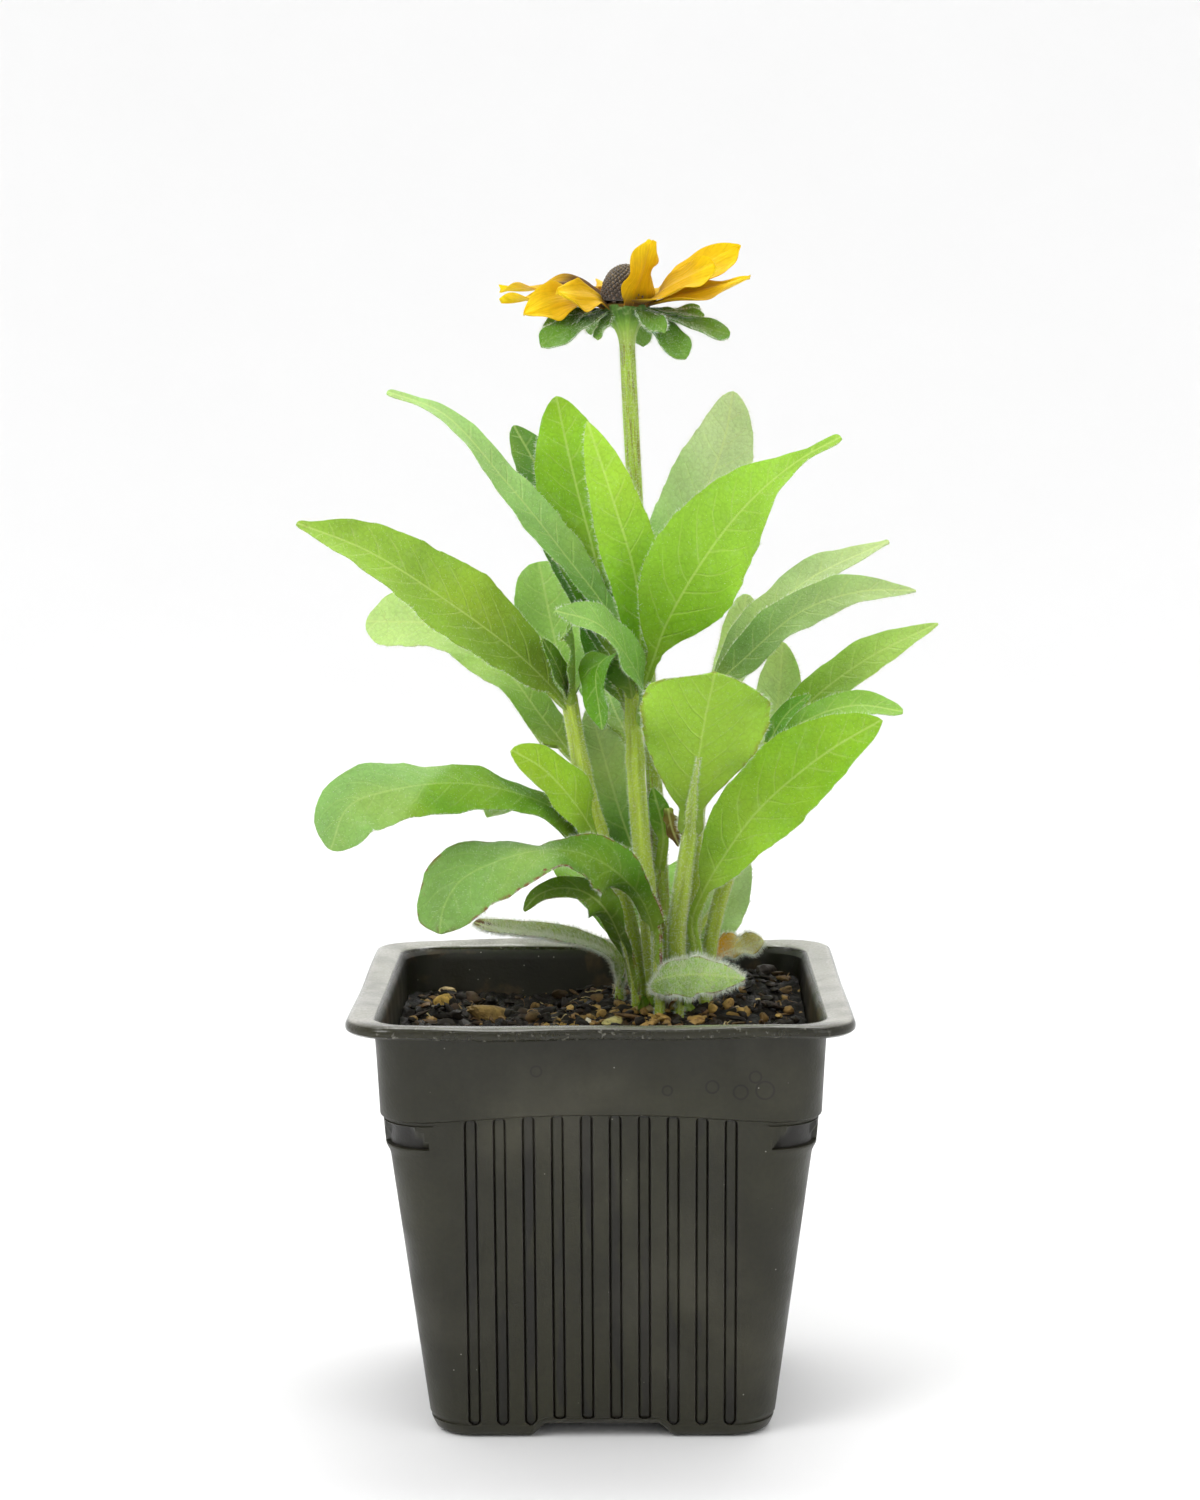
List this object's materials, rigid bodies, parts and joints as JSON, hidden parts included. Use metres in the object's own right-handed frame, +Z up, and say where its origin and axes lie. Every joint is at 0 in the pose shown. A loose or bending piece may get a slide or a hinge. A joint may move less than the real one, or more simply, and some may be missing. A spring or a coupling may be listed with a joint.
{
  "type": "potted flowering plant",
  "caption": "Young daisy-like plant with one open yellow flower above a loose clump of upright and arching leaves, in a square ribbed nursery pot filled with soil.",
  "frame": {"origin": "middle of the pot's base, on the ground", "axes": "+Z up along the pot's middle line, -Y towards the front face of the pot, +X to the right seen from the front"},
  "size_m": [0.1479, 0.1313, 0.2675],
  "materials": {
    "pot": "dark moulded plastic, satin, dusty",
    "soil": "damp peat and bark compost, rough",
    "stem": "hairy green stem, matte",
    "leaf": "hairy green leaf, matte",
    "pale_leaf": "pale hairy green leaf, matte",
    "dead_leaf": "withered brown leaf, dry",
    "petal": "yellow petal, soft sheen",
    "cone": "dark brown disc florets, rough"
  },
  "bodies": {
    "root": {"pot": "pot", "soil": "soil", "left_shoot": "leaf", "middle_shoot": "leaf", "front_shoot": "leaf", "right_shoot": "leaf", "outer_right_shoot": "leaf", "basal_leaf_left": "pale_leaf", "basal_leaf_narrow": "pale_leaf", "basal_leaf_rim": "pale_leaf", "basal_leaf_low": "pale_leaf", "basal_leaf_pale": "pale_leaf", "basal_leaf_right": "pale_leaf", "basal_leaf_back_left": "pale_leaf", "basal_leaf_back_right": "pale_leaf", "dead_leaf": "dead_leaf", "flower_stem": "stem", "petals": "petal", "cone": "cone"}
  },
  "joints": []
}
